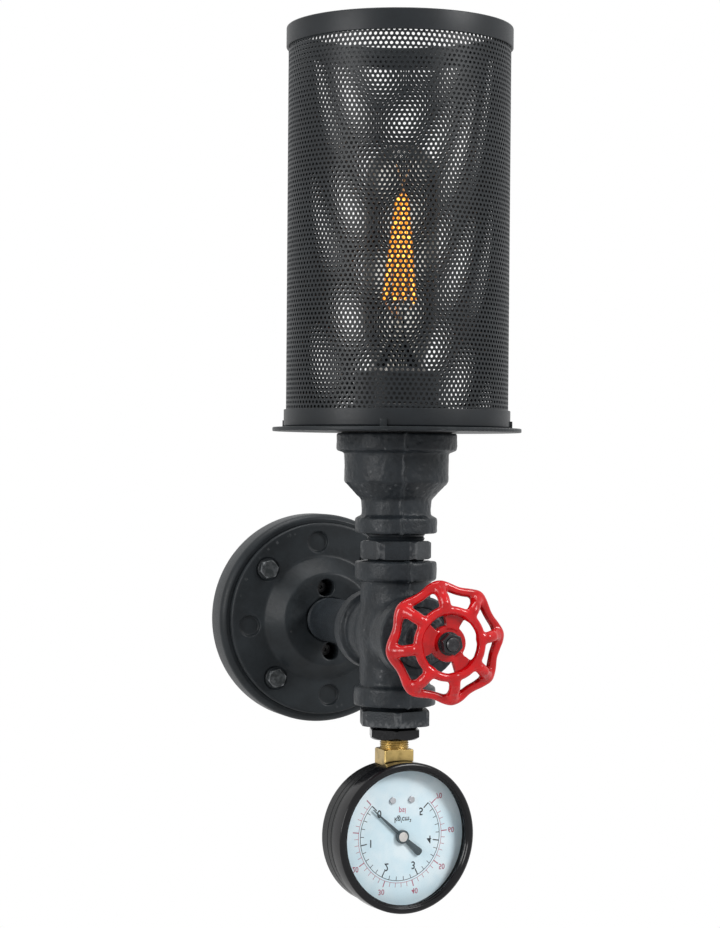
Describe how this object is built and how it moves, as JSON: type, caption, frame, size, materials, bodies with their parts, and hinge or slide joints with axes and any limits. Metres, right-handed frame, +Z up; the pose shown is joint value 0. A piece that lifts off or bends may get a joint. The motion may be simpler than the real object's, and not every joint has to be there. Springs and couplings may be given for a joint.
{
  "type": "industrial pipe wall light",
  "caption": "Wall light of black pipe fittings with a perforated tube shade round a clear tubular bulb, a red handwheel that turns and a small round gauge hung below.",
  "frame": {"origin": "centre of the wall flange on the wall plane, midway between the two wall screw holes of the bracket", "axes": "+Y into the wall, +Z up along the pipe axis and the shade; the lamp stands out along -Y, with the handwheel in front"},
  "size_m": [0.1126, 0.1969, 0.3982],
  "materials": {
    "cast_iron": "satin black cast",
    "gloss_black": "gloss",
    "plate_black": "satin",
    "shade_black": "satin",
    "red_enamel": "gloss",
    "bolt_steel": "satin dark",
    "zinc_steel": "satin",
    "brass": "satin",
    "nickel": "satin",
    "clear_glass": "clear",
    "stem_glass": "clear",
    "filament": "glowing amber",
    "black_glass": "gloss",
    "holder_black": "satin",
    "ceramic": "matte",
    "rubber": "matte",
    "dial_white": "satin",
    "needle_dark": "satin",
    "wire_brown": "satin",
    "wire_blue": "satin",
    "wire_green": "satin"
  },
  "bodies": {
    "lamp": {"flange_plate": "cast_iron", "canopy_shell": "cast_iron", "pipe_nipple": "cast_iron", "cross_fitting": "cast_iron", "hex_nipple": "cast_iron", "reducing_coupling": "cast_iron", "hex_bushing": "cast_iron", "bonnet": "cast_iron", "gland_nut": "cast_iron", "reducing_bushing": "gloss_black", "gauge_bezel": "gloss_black", "gauge_case": "gloss_black", "shade_plate": "plate_black", "shade_mesh": "shade_black", "shade_top_rim": "shade_black", "shade_bottom_band": "shade_black", "flange_bolts": "bolt_steel", "wall_bracket": "zinc_steel", "canopy_screws": "zinc_steel", "earth_screw": "zinc_steel", "back_bushing": "zinc_steel", "fixing_disc": "zinc_steel", "fixing_tube": "zinc_steel", "tube_nut": "zinc_steel", "dial_screws": "zinc_steel", "gauge_stem": "brass", "stem_collar": "brass", "screw_shell": "brass", "centre_contact": "brass", "movement_frame": "brass", "bourdon_tube": "brass", "gauge_window": "clear_glass", "holder_body": "holder_black", "holder_ring": "holder_black", "holder_insert": "ceramic", "terminal_block": "ceramic", "plate_gasket": "rubber", "stem_packing": "rubber", "gauge_dial": "dial_white", "live_wire": "wire_brown", "neutral_wire": "wire_blue", "earth_wire": "wire_green"},
    "wheel": {"valve_stem": "zinc_steel", "stem_clip": "zinc_steel", "handwheel": "red_enamel", "wheel_washer": "gloss_black", "wheel_nut": "gloss_black"},
    "needle": {"gauge_needle": "needle_dark", "gauge_spindle": "brass"},
    "sector": {"sector_gear": "brass"},
    "link": {"tube_link": "brass"},
    "bulb": {"bulb_cap": "nickel", "bulb_insulator": "black_glass", "bulb_contact": "nickel", "bulb_glass": "clear_glass", "bulb_stem": "stem_glass", "bulb_filament": "filament", "bulb_supports": "nickel"}
  },
  "joints": [
    {"name": "wheel_turn", "type": "hinge", "parent": "lamp", "child": "wheel", "pos_m": [0, -0.1864, 0], "axis": [0, -1, 0], "continuous": true},
    {"name": "needle_turn", "type": "hinge", "parent": "lamp", "child": "needle", "pos_m": [0, -0.1238, -0.09135], "axis": [0.1421, -0.9899, 0], "range_deg": [0, 266], "stiffness_Nm_per_rad": 0.0001, "springref_deg": -11.46},
    {"name": "sector_turn", "type": "hinge", "parent": "lamp", "child": "sector", "pos_m": [-0.00966, -0.12519, -0.10111], "axis": [0.1421, -0.9899, 0], "range_deg": [-40, 0.2]},
    {"name": "link_turn", "type": "hinge", "parent": "sector", "child": "link", "pos_m": [-0.01524, -0.12599, -0.09906], "axis": [0.1421, -0.9899, 0], "range_deg": [-0.2, 40]},
    {"name": "bulb_lift", "type": "slide", "parent": "lamp", "child": "bulb", "axis": [0, 0, 1], "range_m": [0, 0.185]}
  ],
  "couplings": [
    {"joint": "sector_turn", "follows": "needle_turn", "ratio": -0.15},
    {"joint": "link_turn", "follows": "needle_turn", "ratio": 0.15}
  ]
}
